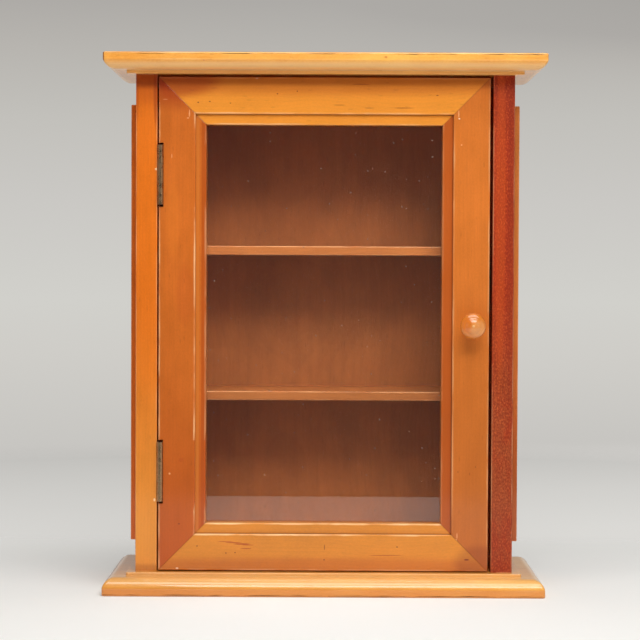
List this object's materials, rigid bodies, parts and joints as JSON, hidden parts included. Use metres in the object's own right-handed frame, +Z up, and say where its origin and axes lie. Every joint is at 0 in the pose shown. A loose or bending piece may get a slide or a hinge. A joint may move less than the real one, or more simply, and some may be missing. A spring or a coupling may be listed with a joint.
{
  "type": "thimble display case",
  "caption": "Shallow wooden display cabinet with moulded top and base boards, fixed shelves and a glazed door on butt hinges, closed by a magnetic catch.",
  "frame": {"origin": "middle of the footprint, on the underside of the base board (bottom centre of the bounding box)", "axes": "+Z up, the door faces -Y, +X to the right as seen from the front"},
  "size_m": [0.353, 0.1264, 0.432],
  "materials": {
    "board_wood": "satin clear coat over orange-yellow stained pine",
    "side_wood": "satin clear coat over orange stain",
    "side_wood_red": "satin clear coat over red-brown stain",
    "stile_wood": "satin clear coat over orange-red stain",
    "rail_wood": "satin clear coat over orange-yellow stain",
    "bead_wood": "satin, stained",
    "knob_wood": "satin clear coat, turned",
    "shelf_wood": "satin, stained",
    "back_wood": "matt brown stain",
    "hidden_wood": "bare",
    "glass": "clear float glass",
    "hinge_brass": "dull, antique",
    "screw_steel": "zinc plated",
    "catch_plastic": "matt",
    "magnet_ferrite": "matt sintered"
  },
  "bodies": {
    "cabinet": {"base_board": "board_wood", "top_board": "board_wood", "left_side": "side_wood", "right_side": "side_wood_red", "back_panel": "back_wood", "lower_shelf": "shelf_wood", "upper_shelf": "shelf_wood", "left_raised_panel": "side_wood", "right_raised_panel": "side_wood_red", "upper_hinge_frame_leaf": "hinge_brass", "upper_hinge_pin": "hinge_brass", "lower_hinge_frame_leaf": "hinge_brass", "lower_hinge_pin": "hinge_brass", "hinge_frame_screws": "hinge_brass", "catch_housing": "catch_plastic", "catch_magnet": "magnet_ferrite", "catch_pole_plates": "screw_steel", "catch_screws": "screw_steel", "top_dowels": "hidden_wood", "base_screws": "screw_steel", "back_panel_nails": "screw_steel"},
    "door": {"door_left_stile": "stile_wood", "door_right_stile": "stile_wood", "door_top_rail": "rail_wood", "door_bottom_rail": "rail_wood", "door_corner_splines": "hidden_wood", "door_glass": "glass", "left_glass_bead": "bead_wood", "right_glass_bead": "bead_wood", "top_glass_bead": "bead_wood", "bottom_glass_bead": "bead_wood", "glass_bead_pins": "screw_steel", "door_knob": "knob_wood", "knob_screw": "screw_steel", "upper_hinge_door_leaf": "hinge_brass", "lower_hinge_door_leaf": "hinge_brass", "hinge_door_screws": "hinge_brass", "catch_strike_plate": "screw_steel", "strike_screw": "screw_steel"}
  },
  "joints": [
    {"name": "door_hinge", "type": "hinge", "parent": "cabinet", "child": "door", "pos_m": [-0.13225, -0.03945, 0.2165], "axis": [0, 0, -1], "range_deg": [0, 175]}
  ]
}
